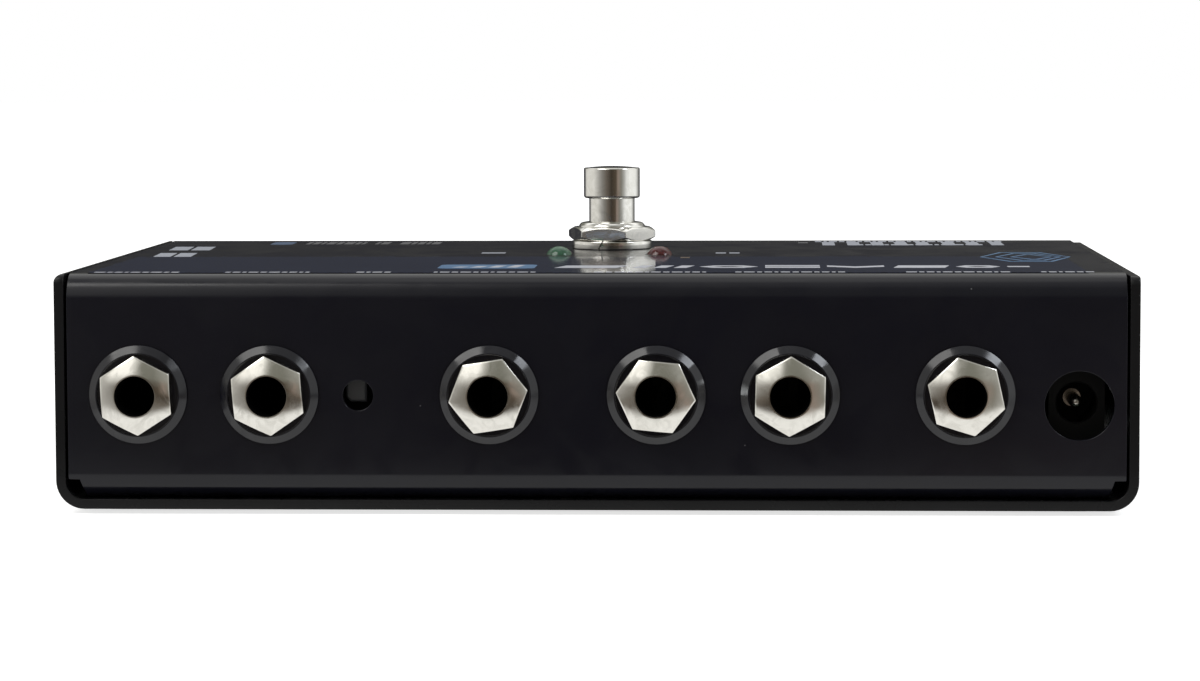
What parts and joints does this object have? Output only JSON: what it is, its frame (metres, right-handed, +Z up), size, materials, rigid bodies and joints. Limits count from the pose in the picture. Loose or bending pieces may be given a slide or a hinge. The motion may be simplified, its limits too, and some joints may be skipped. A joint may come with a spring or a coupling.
{
  "type": "amp switcher",
  "caption": "Low sheet-steel foot box with a panel of quarter-inch jacks, a recessed lift button, a power inlet, a footswitch and status LEDs, which routes an instrument to amplifiers.",
  "frame": {"origin": "on the pad's underside, below the middle of the sheet-metal box", "axes": "+Z up, +X to the right along the row of jacks as seen from the jack side, and the jack panel faces -Y"},
  "size_m": [0.174, 0.1181, 0.0538],
  "materials": {
    "cover_paint": "fine-textured dark powder coat with a printed top",
    "shell_paint": "fine-textured black powder coat",
    "pad_rubber": "matt non-slip sheet",
    "screw_black": "black oxide",
    "zinc": "zinc plated",
    "nickel": "polished nickel plate",
    "washer_black": "moulded black, satin",
    "moulding_black": "moulded black",
    "contact_metal": "tin plated",
    "inlet_pin_metal": "plated brass",
    "button_grey": "moulded dark grey",
    "footswitch_chrome": "polished plate",
    "housing_blue": "moulded blue",
    "base_brown": "moulded brown",
    "spring_steel": "bright wire",
    "led_green_lens": "clear tinted green",
    "led_red_lens": "clear tinted red",
    "spacer_white": "moulded white",
    "board_green": "solder-masked laminate",
    "relay_white": "moulded off-white",
    "core_steel": "stacked sheets",
    "winding_tape": "yellow tape",
    "capacitor_sleeve": "shrink sleeve",
    "chip_epoxy": "moulded epoxy",
    "resistor_coat": "blue coat with colour bands",
    "header_white": "moulded white",
    "wire_jacket": "flexible jacket"
  },
  "bodies": {
    "case": {"base_pad": "pad_rubber", "base_shell": "shell_paint", "board_header": "header_white", "capacitors": "capacitor_sleeve", "chips": "chip_epoxy", "clinch_nuts": "zinc", "cover_screws": "screw_black", "footswitch_base": "base_brown", "footswitch_bushing": "footswitch_chrome", "footswitch_housing": "housing_blue", "footswitch_lock_washer": "footswitch_chrome", "footswitch_lower_nut": "footswitch_chrome", "footswitch_lugs": "contact_metal", "footswitch_spring": "spring_steel", "footswitch_top_nut": "footswitch_chrome", "footswitch_wires": "wire_jacket", "inlet_body": "moulding_black", "inlet_contact": "contact_metal", "inlet_pin": "inlet_pin_metal", "jack_1_body": "moulding_black", "jack_1_contacts": "contact_metal", "jack_1_nut": "nickel", "jack_1_washer": "washer_black", "jack_2_body": "moulding_black", "jack_2_contacts": "contact_metal", "jack_2_nut": "nickel", "jack_2_washer": "washer_black", "jack_3_body": "moulding_black", "jack_3_contacts": "contact_metal", "jack_3_nut": "nickel", "jack_3_washer": "washer_black", "jack_4_body": "moulding_black", "jack_4_contacts": "contact_metal", "jack_4_nut": "nickel", "jack_4_washer": "washer_black", "jack_5_body": "moulding_black", "jack_5_contacts": "contact_metal", "jack_5_nut": "nickel", "jack_5_washer": "washer_black", "jack_6_body": "moulding_black", "jack_6_contacts": "contact_metal", "jack_6_nut": "nickel", "jack_6_washer": "washer_black", "led_green": "led_green_lens", "led_leads": "contact_metal", "led_red": "led_red_lens", "led_spacers": "spacer_white", "lift_switch_body": "moulding_black", "lift_switch_pins": "contact_metal", "lift_switch_spring": "spring_steel", "main_board": "board_green", "regulator": "chip_epoxy", "relays": "relay_white", "resistors": "resistor_coat", "top_cover": "cover_paint", "transformer_core": "core_steel", "transformer_winding": "winding_tape"},
    "footswitch_button": {"footswitch_plunger": "footswitch_chrome", "footswitch_carrier": "base_brown"},
    "lift_button": {"lift_switch_button": "button_grey"}
  },
  "joints": [
    {"name": "footswitch_press", "type": "slide", "parent": "case", "child": "footswitch_button", "axis": [0, 0, -1], "range_m": [0, 0.003], "stiffness_N_per_m": 2000, "springref_m": -0.001, "deforming": ["footswitch_spring"]},
    {"name": "lift_switch_press", "type": "slide", "parent": "case", "child": "lift_button", "axis": [0, 1, 0], "range_m": [0, 0.0018], "stiffness_N_per_m": 800, "springref_m": -0.0005, "deforming": ["lift_switch_spring"]}
  ]
}
